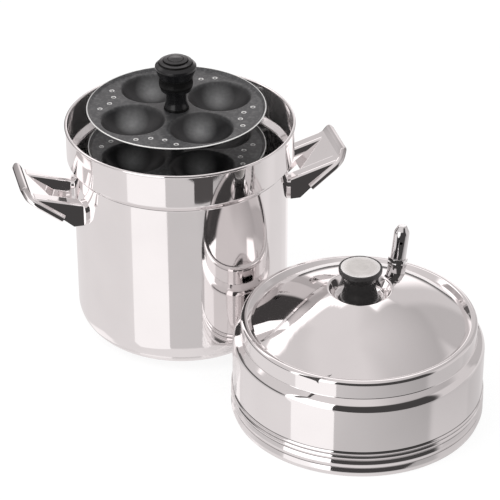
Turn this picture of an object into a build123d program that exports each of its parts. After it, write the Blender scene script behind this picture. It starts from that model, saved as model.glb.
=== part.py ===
"""Idli steamer: a polished steel pot, a lift-out rack of plates and a domed lid with a steam whistle.

Millimetres, +Z up. The origin is the centre of the pot's flat base, on the surface that it stands on.
The lid lies mouth down on the same surface, in front of the pot and to its right.
"""

import os
from math import atan2, cos, degrees, hypot, radians, sin, sqrt, tan

from build123d import *

# Pot
pot_height = 253.0
pot_wall = 1.0
body_radius = 118.5
collar_radius = 125.0
collar_height = 39.0
collar_step_height = 7.0
base_corner_radius = 35.0
step_bend_radius = 4.0
rim_bead_radius = 1.7

# Handles of the pot
handle_turn = 14.5
handle_stand_out = 65.5
handle_drop = 31.0
handle_half_width = 40.0
handle_end_half_width = 37.0
handle_corner_radius = 19.0
handle_foot_height = 26.0
arm_width = 14.0
arm_inset = 5.0
arm_edge_radius = 2.5
arm_foot_depth = 9.0
arm_end_inset = 16.0
arm_rise = 15.0
grip_thickness = 8.5
grip_edge_radius = 3.4
grip_depth = 42.0
grip_drop = 17.0
grip_rise = 28.2
grip_bend_radius = 16.0
lip_depth = 6.0
lip_rise = 12.8
weld_pad_thickness = 3.0
weld_pad_width = 22.0
weld_pad_height = 29.0

# Rack of idli plates
rack_offset_x = -3.6
rack_offset_y = 0.0
rack_turn = 31.0
plate_count = 6
plate_spacing = 46.6
top_plate_height = 268.0
plate_radius = 97.0
plate_sheet = 1.2
plate_lip_height = 3.0
plate_lip_width = 3.5
cups_per_plate = 4
cup_radius = 35.0
cup_depth = 18.0
cup_circle_radius = 54.0
cup_edge_radius = 3.0
vent_radius = 2.0
outer_vent_circle_radius = 83.0
outer_vent_turn = 15.5
inner_vent_circle_radius = 74.0
inner_vent_turn = 6.0
rod_radius = 4.0
rod_fit = 0.08
rod_end_chamfer = 0.8
spacer_radius = 7.0
top_spacer_radius = 11.0
top_spacer_foot_radius = 13.8
top_spacer_foot_edge = 1.4
top_spacer_foot_height = 9.0
top_spacer_height = 23.0
nut_height = 6.5
nut_across_flats = 13.0
washer_radius = 9.0
washer_thickness = 1.5
rod_end_stand_out = 2.0
leg_circle_radius = 74.0
leg_width = 11.0
leg_sheet = 1.5
leg_tab_length = 12.0
leg_foot_length = 9.0
leg_bend_radius = 2.4
leg_rivet_radius = 2.0
leg_rivet_head_radius = 3.6
leg_rivet_head_height = 1.3
floor_gap = 0.3

# Knob of the rack
knob_base_radius = 16.5
knob_bulge_radius = 18.8
knob_bulge_height = 7.0
knob_waist_radius = 17.8
knob_waist_height = 14.0
knob_cap_radius = 22.4
knob_cap_height = 26.0
knob_cap_edge_height = 2.8
knob_shoulder_radius = 18.2
knob_shoulder_height = 31.6
knob_crown_radius = 13.6
knob_crown_height = 34.4
knob_step_height = 1.6
knob_height = 37.5
insert_radius = 6.5
insert_height = 14.0

# Lid
lid_x = 191.5
lid_y = -172.0
lid_wall = 0.9
lid_radius = 134.0
lid_rib_depth = 1.8
lid_rib_bend_radius = 1.6
lid_rib_heights = [10.6, 20.1, 25.9, 30.6]
lid_shoulder_height = 84.0
lid_shoulder_radius = 12.0
lid_groove_radius = 125.4
lid_groove_height = 91.0
lid_ring_radius = 125.2
lid_ring_height = 110.6
lid_ring_bend_radius = 4.4
lid_ring_inner_radius = 118.6
lid_ring_inner_bend_radius = 2.6
lid_crease_radius = 114.0
lid_crease_height = 106.6
lid_crown_radius = 33.0
lid_crown_height = 146.0
lid_dome_bulge = 5.3
lid_dish_radius = 27.0
lid_dish_height = 132.5
lid_dish_bend_radius = 4.0
lid_crown_bend_radius = 2.2
lid_groove_bend_radius = 1.2
seat_ring_height = 6.0
seat_ring_wall = 1.2
seat_ring_bend_radius = 2.0
seat_ring_overlap = 4.5

# Knob of the lid
saucer_radius = 24.0
saucer_thickness = 1.0
saucer_rise = 2.2
saucer_edge_width = 3.6
lid_knob_foot_radius = 20.0
lid_knob_foot_height = 2.6
lid_knob_waist_radius = 16.4
lid_knob_neck_radius = 17.2
lid_knob_taper_height = 9.0
lid_knob_cap_radius = 23.0
lid_knob_cap_height = 4.6
lid_knob_height = 37.5
lid_knob_disc_radius = 20.8
lid_knob_disc_thickness = 1.4
lid_knob_disc_fit = 0.2
lid_screw_radius = 2.5
lid_screw_depth = 18.0
lid_screw_head_radius = 4.8
lid_screw_head_height = 3.0
lid_screw_washer_radius = 8.0
lid_screw_washer_thickness = 1.2
screw_fit = 0.05

# Steam whistle
whistle_circle_radius = 62.0
whistle_azimuth = 48.0
whistle_lean = 9.0
vent_pipe_radius = 4.0
vent_pipe_bore_radius = 1.8
vent_pipe_height = 32.0
vent_pipe_stand_out = 1.5
whistle_base_radius = 9.8
whistle_base_height = 3.0
whistle_collar_height = 9.0
whistle_collar_across_flats = 18.0
whistle_collar_groove_depth = 1.1
whistle_collar_groove_width = 1.6
whistle_cap_radius = 8.3
whistle_cap_wall = 1.4
whistle_cap_height = 37.5
whistle_cap_point_height = 7.0
whistle_cap_tip_radius = 4.4
whistle_cap_hole_radius = 1.7
whistle_gasket_radius = 9.0
whistle_gasket_thickness = 3.0
whistle_nut_height = 5.0
whistle_nut_across_flats = 15.0

# One overrun serves every cut
overrun = 5.0

# Places that follow from the sizes above
collar_bottom = pot_height - collar_height
handle_foot_top = collar_bottom - handle_drop
handle_reach = body_radius + handle_stand_out
arm_top_reach = handle_reach - arm_end_inset
arm_top_height = handle_foot_top + arm_rise
grip_inner_reach = handle_reach - grip_depth
grip_inner_height = handle_foot_top - grip_drop
grip_bend_reach = handle_reach - lip_depth
grip_bend_height = grip_inner_height + grip_rise
lip_height = grip_bend_height + lip_rise
lowest_plate_height = top_plate_height - plate_spacing * (plate_count - 1)


def offset_points(points, distance):
    """Moves an open outline sideways by a distance, to the left of its direction, with mitred corners."""
    normals = []
    for (x0, y0), (x1, y1) in zip(points, points[1:]):
        length = hypot(x1 - x0, y1 - y0)
        normals.append((-(y1 - y0) / length, (x1 - x0) / length))
    ends = [normals[0]] + normals, normals + [normals[-1]]
    moved = []
    for (x, y), (ax, ay), (bx, by) in zip(points, *ends):
        share = distance / (1 + ax * bx + ay * by)
        moved.append((x + share * (ax + bx), y + share * (ay + by)))
    return moved


def turns_left(before, corner, after):
    """True where an outline turns to the left at a corner."""
    (x0, y0), (x1, y1), (x2, y2) = before, corner, after
    return (x1 - x0) * (y2 - y1) - (y1 - y0) * (x2 - x1) > 0


def offset_bends(points, bend_radii, distance):
    """The bend radii of an outline that is moved to its left by a distance. Sharp corners stay sharp."""
    moved = []
    for index, bend in enumerate(bend_radii):
        side = 1 if turns_left(*points[index : index + 3]) else -1
        moved.append(max(bend - side * distance, 0) if bend else 0)
    return moved


def sheet_section(points, bend_radii, thickness):
    """A closed section of sheet: an open outline with rounded bends, thickened to its left."""
    far_points = offset_points(points, thickness)
    near = rounded_line(points, bend_radii)
    far = rounded_line(far_points, offset_bends(points, bend_radii, thickness))
    start = Line(points[0], far_points[0])
    end = Line(points[-1], far_points[-1])
    return make_face(near + far + [start, end])


def rounded_line(points, bend_radii):
    """The edges of an open outline whose corners are arcs, or sharp where the radius is zero."""
    edges = []
    start = Vector(*points[0])
    for index, bend in enumerate(bend_radii):
        corner = Vector(*points[index + 1])
        before = (Vector(*points[index]) - corner).normalized()
        after = (Vector(*points[index + 2]) - corner).normalized()
        if bend == 0:
            edges.append(Line(start, corner))
            start = corner
            continue
        half_angle = radians(before.get_angle(after)) / 2
        reach = bend / tan(half_angle)
        middle = corner + (before + after).normalized() * (bend / sin(half_angle) - bend)
        edges.append(Line(start, corner + before * reach))
        edges.append(ThreePointArc(corner + before * reach, middle, corner + after * reach))
        start = corner + after * reach
    edges.append(Line(start, Vector(*points[-1])))
    return edges


def revolved(section):
    """Turns a section drawn in radius and height about the Z axis."""
    return revolve(Plane.XZ * section, Axis.Z)


def polar_place(radius, angle):
    """A place at a radius and an angle in degrees about the Z axis."""
    return Pos(radius * cos(radians(angle)), radius * sin(radians(angle)), 0)


def cylinder_between(radius, low, high):
    """A cylinder on the Z axis between two heights."""
    return Pos(0, 0, low) * extrude(Circle(radius), high - low)


def ring_between(outer_radius, inner_radius, low, high):
    """A plain ring on the Z axis between two heights."""
    return cylinder_between(outer_radius, low, high) - cylinder_between(
        inner_radius, low - overrun, high + overrun
    )


def hexagon_nut(across_flats, bore_radius, low, high):
    """A hexagon nut on the Z axis between two heights, its corners rounded off by a cone."""
    corner_radius = across_flats / sqrt(3)
    blank = Pos(0, 0, low) * extrude(RegularPolygon(corner_radius, 6), high - low)
    bevel = (corner_radius - across_flats / 2) / 2
    disc = chamfer(cylinder_between(corner_radius, low, high).edges().filter_by(GeomType.CIRCLE), bevel)
    return (blank & disc) - cylinder_between(bore_radius, low - overrun, high + overrun)


def pot_shell():
    """The drawn pot: flat base, rounded corner, straight wall, stepped collar and a rolled rim."""
    points = [
        (0, 0),
        (body_radius, 0),
        (body_radius, collar_bottom - collar_step_height),
        (collar_radius, collar_bottom),
        (collar_radius, pot_height - rim_bead_radius),
    ]
    section = sheet_section(points, [base_corner_radius, step_bend_radius, step_bend_radius], pot_wall)
    bead_centre = collar_radius - pot_wall / 2, pot_height - rim_bead_radius
    section += Pos(*bead_centre) * Circle(rim_bead_radius)
    return revolved(section)


def handle_plan():
    """The plan outline of a handle, which narrows outward and has rounded corners."""
    points = [
        (0, -handle_half_width),
        (body_radius, -handle_half_width),
        (handle_reach, -handle_end_half_width),
        (handle_reach, handle_end_half_width),
        (body_radius, handle_half_width),
        (0, handle_half_width),
    ]
    outline = rounded_line(points, [0, handle_corner_radius, handle_corner_radius, 0])
    outline.append(Line(points[-1], points[0]))
    low = grip_inner_height - handle_foot_height
    return Pos(0, 0, low) * extrude(make_face(outline), lip_height + overrun - low)


def handle_grip():
    """The grip of a handle on the +X side: a thick plate that slants up to a lip, its edges round."""
    grip_line = [
        (grip_inner_reach, grip_inner_height),
        (grip_bend_reach, grip_bend_height),
        (handle_reach, lip_height),
    ]
    section = sheet_section(grip_line, [grip_bend_radius], grip_thickness)
    grip = extrude(Plane.XZ * section, handle_half_width, both=True) & handle_plan()
    across = grip.edges().filter_by(Axis.Y)
    lip_edges = across.sort_by(Axis.Z)[-2:]
    side_edges = [
        edge for edge in grip.edges() if edge not in across and edge.center().X > grip_inner_reach
    ]
    return fillet(side_edges + list(lip_edges), grip_edge_radius)


def handle_arms():
    """The two wedge arms of a handle on the +X side, which run from the pot's wall into the grip."""
    foot_bottom = handle_foot_top - handle_foot_height
    middle_of_grip = grip_thickness / 2
    outline = [
        (0, foot_bottom),
        (body_radius + arm_foot_depth, foot_bottom),
        (grip_inner_reach, grip_inner_height + middle_of_grip),
        (arm_top_reach, arm_top_height - middle_of_grip),
        (arm_top_reach, arm_top_height + overrun),
        (0, arm_top_height + overrun),
    ]
    wedges = extrude(Plane.XZ * make_face(Polyline(*outline, close=True)), handle_half_width, both=True)
    slope = degrees(atan2(arm_top_height - handle_foot_top, arm_top_reach - body_radius))
    bar = Box(
        2 * arm_top_reach,
        arm_width,
        2 * handle_foot_height,
        align=(Align.CENTER, Align.CENTER, Align.MAX),
    )
    bar = fillet(bar.edges().filter_by(Axis.X).group_by(Axis.Z)[-1], arm_edge_radius)
    bar = Pos(arm_top_reach, 0, arm_top_height) * Rot(0, -slope, 0) * bar
    middle = handle_half_width - arm_inset - arm_width / 2
    return [wedges & (Pos(0, side * middle, 0) * bar) for side in (-1, 1)]


def handle():
    """A loop handle on the +X side: two wedge arms and the grip."""
    blank = handle_grip()
    for arm in handle_arms():
        blank += arm
    return blank - cylinder_between(body_radius + weld_pad_thickness, 0, pot_height)


def weld_pads():
    """The two oval pads by which a handle on the +X side is joined to the pot's wall."""
    ring = ring_between(body_radius + weld_pad_thickness, body_radius, 0, pot_height)
    arm_middle = handle_half_width - arm_inset - arm_width / 2
    pad_turn = degrees(atan2(arm_middle, sqrt(body_radius**2 - arm_middle**2)))
    height = handle_foot_top - handle_foot_height / 2
    outline = SlotOverall(weld_pad_height, weld_pad_width, rotation=90)
    blank = Pos(0, 0, height) * extrude(Plane.YZ * outline, collar_radius)
    return [ring & (Rot(0, 0, side * pad_turn) * blank) for side in (-1, 1)]


def vents():
    """The small round vents of a plate: a bowed group of four in each space between two cups."""
    holes = []
    for cup in range(cups_per_plate):
        middle = 360 / cups_per_plate * (cup + 0.5)
        for side in (-1, 1):
            for radius, turn in (
                (outer_vent_circle_radius, outer_vent_turn),
                (inner_vent_circle_radius, inner_vent_turn),
            ):
                place = polar_place(radius, middle + side * turn)
                holes.append(place * Cylinder(vent_radius, 2 * overrun))
    return holes


def rivet_holes():
    """The holes of the lowest plate for the rivets of its legs."""
    return [
        polar_place(leg_circle_radius, 360 / cups_per_plate * (cup + 0.5))
        * Cylinder(leg_rivet_radius + rod_fit, 2 * overrun)
        for cup in range(cups_per_plate)
    ]


def idli_plate(with_legs):
    """One plate, its flat top at height zero: shallow round cups, vents and a raised edge."""
    edge_line = [
        (plate_radius, plate_lip_height),
        (plate_radius - plate_lip_width, 0),
        (0, 0),
    ]
    plate = revolved(sheet_section(edge_line, [plate_sheet], plate_sheet))
    sphere_radius = (cup_radius**2 + cup_depth**2) / (2 * cup_depth)
    centre_height = sphere_radius - cup_depth
    reach = cup_radius + cup_edge_radius
    below = Pos(0, 0, -plate_sheet) * Box(
        2 * reach, 2 * reach, cup_depth + plate_sheet, align=(Align.CENTER, Align.CENTER, Align.MAX)
    )
    bowl = (Pos(0, 0, centre_height) * Sphere(sphere_radius + plate_sheet)) & below
    hollow = Pos(0, 0, centre_height) * Sphere(sphere_radius)
    places = [polar_place(cup_circle_radius, 360 / cups_per_plate * cup) for cup in range(cups_per_plate)]
    for place in places:
        plate += place * bowl
    for place in places:
        plate -= place * hollow
    mouth_edges = [
        edge
        for edge in plate.edges().filter_by(GeomType.CIRCLE)
        if abs(edge.radius - cup_radius) < cup_edge_radius and edge.arc_center.Z > -cup_depth / 2
    ]
    plate = fillet(mouth_edges, cup_edge_radius)
    cuts = vents() + [Cylinder(rod_radius + rod_fit, 2 * overrun)]
    if with_legs:
        cuts += rivet_holes()
    for cut in cuts:
        plate -= cut
    return plate


def rack_leg():
    """One bent strip leg under the lowest plate, on the +X side: tab, upright and foot."""
    top = lowest_plate_height - plate_sheet
    bottom = pot_wall + floor_gap
    outer = leg_circle_radius + leg_tab_length / 2
    leg_line = [
        (outer - leg_tab_length, top),
        (outer, top),
        (outer, bottom),
        (outer - leg_foot_length, bottom),
    ]
    section = sheet_section(leg_line, [leg_bend_radius, leg_bend_radius], -leg_sheet)
    strip = extrude(Plane.XZ * section, leg_width / 2, both=True)
    hole = Pos(leg_circle_radius, 0, top) * Cylinder(leg_rivet_radius + rod_fit, 2 * overrun)
    return strip - hole


def leg_rivet():
    """One rivet of a leg, on the +X side: a shank through plate and tab with a low head on each side."""
    top = lowest_plate_height
    bottom = top - plate_sheet - leg_sheet
    shank = cylinder_between(leg_rivet_radius, bottom, top)
    upper = cylinder_between(leg_rivet_head_radius, top, top + leg_rivet_head_height)
    upper = fillet(upper.edges().group_by(Axis.Z)[-1], leg_rivet_head_height / 2)
    lower = cylinder_between(leg_rivet_head_radius, bottom - leg_rivet_head_height, bottom)
    lower = fillet(lower.edges().group_by(Axis.Z)[0], leg_rivet_head_height / 2)
    return Pos(leg_circle_radius, 0, 0) * (shank + upper + lower)


def spaced_between_cups(piece):
    """Repeats a piece that stands on the +X side in each space between two cups."""
    return [Rot(0, 0, 360 / cups_per_plate * (cup + 0.5)) * piece for cup in range(cups_per_plate)]


def top_spacer():
    """The black sleeve between the top plate and the knob, with a flared foot."""
    bore = rod_radius + rod_fit
    outline = [
        (bore, 0),
        (top_spacer_foot_radius, 0),
        (top_spacer_foot_radius, top_spacer_foot_edge),
        (top_spacer_radius, top_spacer_foot_height),
        (top_spacer_radius, top_spacer_height),
        (bore, top_spacer_height),
    ]
    edge = top_spacer_foot_edge / 2
    edges = rounded_line(outline, [edge, edge, top_spacer_foot_radius, edge])
    edges.append(Line(outline[-1], outline[0]))
    return Pos(0, 0, top_plate_height) * revolved(make_face(edges))


def knob_base_height():
    """The height at which the rack's knob starts."""
    return top_plate_height + top_spacer_height


def rack_rod():
    """The centre rod, from below the bottom nut up into the knob's insert."""
    low = lowest_plate_height - plate_sheet - washer_thickness - nut_height - rod_end_stand_out
    rod = cylinder_between(rod_radius, low, knob_base_height() + insert_height)
    return chamfer(rod.edges().filter_by(GeomType.CIRCLE), rod_end_chamfer)


def rack_knob():
    """The moulded knob of the rack: bulged body, waist, wide cap and two stepped rings on top."""
    base = knob_base_height()
    outline = [
        (0, 0),
        (knob_base_radius, 0),
        (knob_bulge_radius, knob_bulge_height),
        (knob_waist_radius, knob_waist_height),
        (knob_cap_radius, knob_cap_height),
        (knob_cap_radius, knob_cap_height + knob_cap_edge_height),
        (knob_shoulder_radius, knob_shoulder_height),
        (knob_shoulder_radius, knob_shoulder_height + knob_step_height),
        (knob_crown_radius, knob_crown_height),
        (knob_crown_radius, knob_crown_height + knob_step_height),
        (0, knob_height),
    ]
    edge = knob_step_height / 4
    cap_edge = knob_cap_edge_height / 2
    bends = [edge, knob_bulge_height, knob_waist_height, cap_edge, cap_edge, 0, edge, 0, edge]
    edges = rounded_line(outline, bends)
    edges.append(Line(outline[-1], outline[0]))
    body = Pos(0, 0, base) * revolved(make_face(edges))
    pocket = cylinder_between(insert_radius, base - overrun, base + insert_height)
    return body - pocket


def chord_height(radius):
    """The height of the straight line from the lid's crease to its crown, at a radius."""
    share = (lid_crease_radius - radius) / (lid_crease_radius - lid_crown_radius)
    return lid_crease_height + share * (lid_crown_height - lid_crease_height)


def lid_outline():
    """The lid's outer outline from its mouth to its centre, with the radius of each bend."""
    points = [(lid_radius, 0)]
    bends = []
    low = 0
    for high in lid_rib_heights:
        points += [(lid_radius + lid_rib_depth, (low + high) / 2), (lid_radius, high)]
        bends += [lid_rib_bend_radius, lid_rib_bend_radius]
        low = high
    half_chord_x = (lid_crease_radius - lid_crown_radius) / 2
    half_chord_z = (lid_crown_height - lid_crease_height) / 2
    half_chord = hypot(half_chord_x, half_chord_z)
    half_turn = 2 * atan2(lid_dome_bulge, half_chord)
    apex_radius = lid_crown_radius + half_chord_x + half_chord_z * tan(half_turn)
    apex_height = lid_crease_height + half_chord_z + half_chord_x * tan(half_turn)
    dome_radius = (half_chord - lid_crown_bend_radius) / sin(half_turn)
    points += [
        (lid_radius, lid_shoulder_height),
        (lid_groove_radius, lid_groove_height),
        (lid_ring_radius, lid_ring_height),
        (lid_ring_inner_radius, lid_ring_height),
        (lid_crease_radius, lid_crease_height),
        (apex_radius, apex_height),
        (lid_crown_radius, lid_crown_height),
        (lid_dish_radius, lid_dish_height),
        (0, lid_dish_height),
    ]
    bends += [
        lid_shoulder_radius,
        lid_groove_bend_radius,
        lid_ring_bend_radius,
        lid_ring_inner_bend_radius,
        0,
        dome_radius,
        lid_crown_bend_radius,
        lid_dish_bend_radius,
    ]
    return points, bends


def lid_envelope(inset):
    """The solid inside the lid's outline, moved in: by zero for its skin, by the wall for its hollow."""
    points, bends = lid_outline()
    moved = offset_points(points, inset)
    mouth_radius = moved[0][0]
    edges = rounded_line(moved, offset_bends(points, bends, inset))
    edges.append(Line(moved[-1], (0, -overrun)))
    edges.append(Line((0, -overrun), (mouth_radius, -overrun)))
    edges.append(Line((mouth_radius, -overrun), moved[0]))
    return revolved(make_face(edges))


def whistle_place():
    """Where the whistle's axis stands on the lid, leaning outward about the middle of its seat."""
    seat = whistle_seat_height()
    lean = Rot(0, 0, whistle_azimuth) * Rot(0, whistle_lean, 0) * Rot(0, 0, -whistle_azimuth)
    return polar_place(whistle_circle_radius, whistle_azimuth) * Pos(0, 0, seat) * lean * Pos(0, 0, -seat)


def lid_shell(envelope, hollow):
    """The domed lid: ribbed skirt, rounded shoulder, ring, dome and centre dish, with two holes."""
    shell = envelope - hollow
    shell -= cylinder_between(2 * lid_radius, -2 * overrun, 0)
    shell -= Cylinder(lid_screw_radius + screw_fit, 2 * lid_crown_height)
    return shell - whistle_place() * Cylinder(vent_pipe_radius + screw_fit, 2 * lid_crown_height)


def lid_seat_ring():
    """The bent ring inside the skirt that rests on the pot's rim."""
    outer = lid_radius - lid_wall
    inner = collar_radius - pot_wall / 2 + rim_bead_radius - seat_ring_overlap
    low = lid_rib_heights[-1] + lid_rib_bend_radius
    ring_line = [(outer, low + seat_ring_height), (outer, low), (inner, low)]
    return revolved(sheet_section(ring_line, [seat_ring_bend_radius], -seat_ring_wall))


def lid_saucer():
    """The bright saucer under the lid's knob."""
    bore = lid_screw_radius + screw_fit
    top = lid_dish_height + saucer_thickness
    flat_radius = saucer_radius - saucer_edge_width
    saucer_line = [(saucer_radius, top + saucer_rise), (flat_radius, top), (bore, top)]
    return revolved(sheet_section(saucer_line, [saucer_rise], saucer_thickness))


def lid_knob():
    """The moulded knob of the lid: flared foot, slim waist and a wide cap with a recess for its disc."""
    base = lid_dish_height + saucer_thickness
    recess = lid_knob_height - lid_knob_disc_thickness
    cap_base = lid_knob_height - lid_knob_cap_height
    neck = cap_base - lid_knob_taper_height
    outline = [
        (0, 0),
        (lid_knob_foot_radius, 0),
        (lid_knob_foot_radius, lid_knob_foot_height),
        (lid_knob_waist_radius, neck / 2),
        (lid_knob_neck_radius, neck),
        (lid_knob_cap_radius, cap_base),
        (lid_knob_cap_radius, lid_knob_height),
        (lid_knob_disc_radius + lid_knob_disc_fit, lid_knob_height),
        (lid_knob_disc_radius + lid_knob_disc_fit, recess),
        (0, recess),
    ]
    small = lid_knob_disc_fit
    bends = [small, lid_knob_foot_height / 2, lid_knob_waist_radius, lid_knob_taper_height]
    bends += [lid_knob_cap_height / 2, small * 4, small, 0]
    edges = rounded_line(outline, bends)
    edges.append(Line(outline[-1], outline[0]))
    hole = cylinder_between(lid_screw_radius + screw_fit, -overrun, lid_screw_depth + overrun)
    return Pos(0, 0, base) * (revolved(make_face(edges)) - hole)


def lid_knob_disc():
    """The pale steel disc let into the top of the lid's knob."""
    high = lid_dish_height + saucer_thickness + lid_knob_height
    disc = cylinder_between(lid_knob_disc_radius, high - lid_knob_disc_thickness, high)
    return fillet(disc.edges().group_by(Axis.Z)[-1], lid_knob_disc_thickness / 4)


def lid_screw_washer():
    """The washer under the head of the knob's screw, inside the lid."""
    high = lid_dish_height - lid_wall
    return ring_between(
        lid_screw_washer_radius, lid_screw_radius + screw_fit, high - lid_screw_washer_thickness, high
    )


def lid_screw():
    """The screw that holds the lid's knob, with its pan head inside the lid."""
    seat = lid_dish_height - lid_wall - lid_screw_washer_thickness
    shank = cylinder_between(lid_screw_radius, seat, lid_dish_height + saucer_thickness + lid_screw_depth)
    head = cylinder_between(lid_screw_head_radius, seat - lid_screw_head_height, seat)
    return shank + fillet(head.edges().group_by(Axis.Z)[0], lid_screw_head_height / 3)


def whistle_seat_height():
    """The height of the flat top of the whistle's base, just above the dome at its higher side."""
    return chord_height(whistle_circle_radius - whistle_base_radius) + lid_dome_bulge + whistle_base_height


def whistle_nut_top():
    """The height of the flat underside of the gasket inside the lid, where the nut bears."""
    return chord_height(whistle_circle_radius + whistle_gasket_radius) - whistle_gasket_thickness


def whistle_base(envelope):
    """The round base of the whistle, flat on top, with an underside that follows the dome."""
    low = whistle_nut_top()
    blank = ring_between(whistle_base_radius, vent_pipe_radius + screw_fit, low, whistle_seat_height())
    return (whistle_place() * blank) - envelope


def whistle_gasket(hollow):
    """The rubber gasket inside the lid, flat below, with a top that follows the dome."""
    high = whistle_seat_height()
    blank = ring_between(whistle_gasket_radius, vent_pipe_radius + screw_fit, whistle_nut_top(), high)
    return (whistle_place() * blank) & hollow


def whistle_nut():
    """The hexagon nut that holds the vent pipe from inside the lid."""
    high = whistle_nut_top()
    bore = vent_pipe_radius + screw_fit
    return whistle_place() * hexagon_nut(whistle_nut_across_flats, bore, high - whistle_nut_height, high)


def whistle_collar():
    """The grooved hexagon collar that clamps the vent pipe from outside the lid."""
    low = whistle_seat_height()
    high = low + whistle_collar_height
    collar = hexagon_nut(whistle_collar_across_flats, vent_pipe_radius + screw_fit, low, high)
    groove_low = (low + high - whistle_collar_groove_width) / 2
    groove_radius = whistle_collar_across_flats / 2 - whistle_collar_groove_depth
    groove = ring_between(
        whistle_collar_across_flats, groove_radius, groove_low, groove_low + whistle_collar_groove_width
    )
    return whistle_place() * (collar - groove)


def vent_pipe():
    """The pipe that lets the steam out through the lid into the whistle."""
    low = whistle_nut_top() - whistle_nut_height - vent_pipe_stand_out
    high = whistle_seat_height() + vent_pipe_height
    pipe = cylinder_between(vent_pipe_radius, low, high)
    pipe = chamfer(pipe.edges().filter_by(GeomType.CIRCLE), rod_end_chamfer)
    bore = cylinder_between(vent_pipe_bore_radius, low - overrun, high + overrun)
    return whistle_place() * (pipe - bore)


def whistle_cap():
    """The whistle: a weighted sleeve with a blunt top and a steam hole. It stands over the vent pipe."""
    low = whistle_seat_height() + whistle_collar_height
    shoulder = whistle_cap_height - whistle_cap_point_height
    outline = [
        (0, 0),
        (whistle_cap_radius, 0),
        (whistle_cap_radius, shoulder),
        (whistle_cap_tip_radius, whistle_cap_height),
        (0, whistle_cap_height),
    ]
    bends = [whistle_cap_wall / 2, whistle_cap_radius, whistle_cap_tip_radius / 2]
    edges = rounded_line(outline, bends)
    edges.append(Line(outline[-1], outline[0]))
    bore_height = vent_pipe_height - whistle_collar_height + floor_gap
    bore_radius = whistle_cap_radius - whistle_cap_wall
    body = revolved(make_face(edges)) - cylinder_between(bore_radius, -overrun, bore_height)
    hole_height = bore_height - 2 * whistle_cap_hole_radius
    drill = Rot(90, 0, 0) * extrude(Circle(whistle_cap_hole_radius), 2 * whistle_cap_radius)
    return whistle_place() * Pos(0, 0, low) * (body - Pos(0, 0, hole_height) * drill)


def pot_parts():
    """The pot with its two handles and their weld pads."""
    parts = {"pot_shell": pot_shell()}
    for name, turn in (("right", 0), ("left", 180)):
        place = Rot(0, 0, handle_turn + turn)
        parts[name + "_handle"] = place * handle()
        parts[name + "_handle_weld_pads"] = Compound([place * pad for pad in weld_pads()])
    return parts


def rack_parts():
    """The rack: rod, plates, spacers, legs, nut and knob, in the rack's own frame."""
    parts = {"rack_rod": rack_rod(), "rack_knob": rack_knob()}
    base = knob_base_height()
    bore = rod_radius + rod_fit
    parts["rack_knob_insert"] = ring_between(insert_radius, bore, base, base + insert_height)
    parts["top_spacer"] = top_spacer()
    parts["rack_legs"] = Compound(spaced_between_cups(rack_leg()))
    parts["rack_leg_rivets"] = Compound(spaced_between_cups(leg_rivet()))
    washer_top = lowest_plate_height - plate_sheet
    nut_top = washer_top - washer_thickness
    parts["rack_washer"] = ring_between(washer_radius, bore, nut_top, washer_top)
    parts["rack_nut"] = hexagon_nut(nut_across_flats, bore, nut_top - nut_height, nut_top)
    plain_plate = idli_plate(with_legs=False)
    for number in range(1, plate_count + 1):
        height = lowest_plate_height + plate_spacing * (number - 1)
        plate = plain_plate if number > 1 else idli_plate(with_legs=True)
        parts[f"idli_plate_{number}"] = Pos(0, 0, height) * plate
        if number < plate_count:
            spacer_top = height + plate_spacing - plate_sheet
            parts[f"spacer_{number}"] = ring_between(spacer_radius, bore, height, spacer_top)
    return parts


def lid_parts():
    """The lid with its knob and whistle, on the lid's own axis."""
    envelope = lid_envelope(0)
    hollow = lid_envelope(lid_wall)
    return {
        "lid_shell": lid_shell(envelope, hollow),
        "lid_seat_ring": lid_seat_ring(),
        "lid_saucer": lid_saucer(),
        "lid_knob": lid_knob(),
        "lid_knob_disc": lid_knob_disc(),
        "lid_screw": lid_screw(),
        "lid_screw_washer": lid_screw_washer(),
        "whistle_base": whistle_base(envelope),
        "whistle_gasket": whistle_gasket(hollow),
        "whistle_nut": whistle_nut(),
        "whistle_collar": whistle_collar(),
        "vent_pipe": vent_pipe(),
        "whistle_cap": whistle_cap(),
    }


groups = [
    (Pos(0, 0, 0), pot_parts()),
    (Pos(rack_offset_x, rack_offset_y, 0) * Rot(0, 0, rack_turn), rack_parts()),
    (Pos(lid_x, lid_y, 0), lid_parts()),
]
os.makedirs("parts", exist_ok=True)
for place, parts in groups:
    for name, shape in parts.items():
        export_step(place * shape, f"parts/{name}.step")
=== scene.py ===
"""The looks of the idli steamer: polished steel pot and lid, non-stick plates, black moulded knobs.

Lengths of the object are millimetres, times MM where Blender reads them. Those of the studio around it
are metres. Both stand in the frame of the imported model, whose origin is the centre of the pot's base.
The lid lies in front of the pot and to its right.
"""

from math import atan2, cos, hypot, pi, radians, sin, sqrt, tan

import bpy
from mathutils import Matrix, Vector


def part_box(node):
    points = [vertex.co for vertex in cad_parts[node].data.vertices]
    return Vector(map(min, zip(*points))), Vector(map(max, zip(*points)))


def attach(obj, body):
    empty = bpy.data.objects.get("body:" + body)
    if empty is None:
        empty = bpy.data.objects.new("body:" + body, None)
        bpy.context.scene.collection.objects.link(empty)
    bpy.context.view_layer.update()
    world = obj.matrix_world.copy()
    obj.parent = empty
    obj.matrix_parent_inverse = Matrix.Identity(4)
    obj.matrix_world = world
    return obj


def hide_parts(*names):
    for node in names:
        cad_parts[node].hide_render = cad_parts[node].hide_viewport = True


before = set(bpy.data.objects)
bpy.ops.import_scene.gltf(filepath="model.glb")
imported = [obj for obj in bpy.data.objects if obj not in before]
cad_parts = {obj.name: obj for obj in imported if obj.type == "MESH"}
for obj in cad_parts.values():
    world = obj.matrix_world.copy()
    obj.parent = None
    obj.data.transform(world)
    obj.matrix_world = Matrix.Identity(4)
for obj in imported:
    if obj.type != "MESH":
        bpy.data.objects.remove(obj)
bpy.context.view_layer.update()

MM = 0.001

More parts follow.
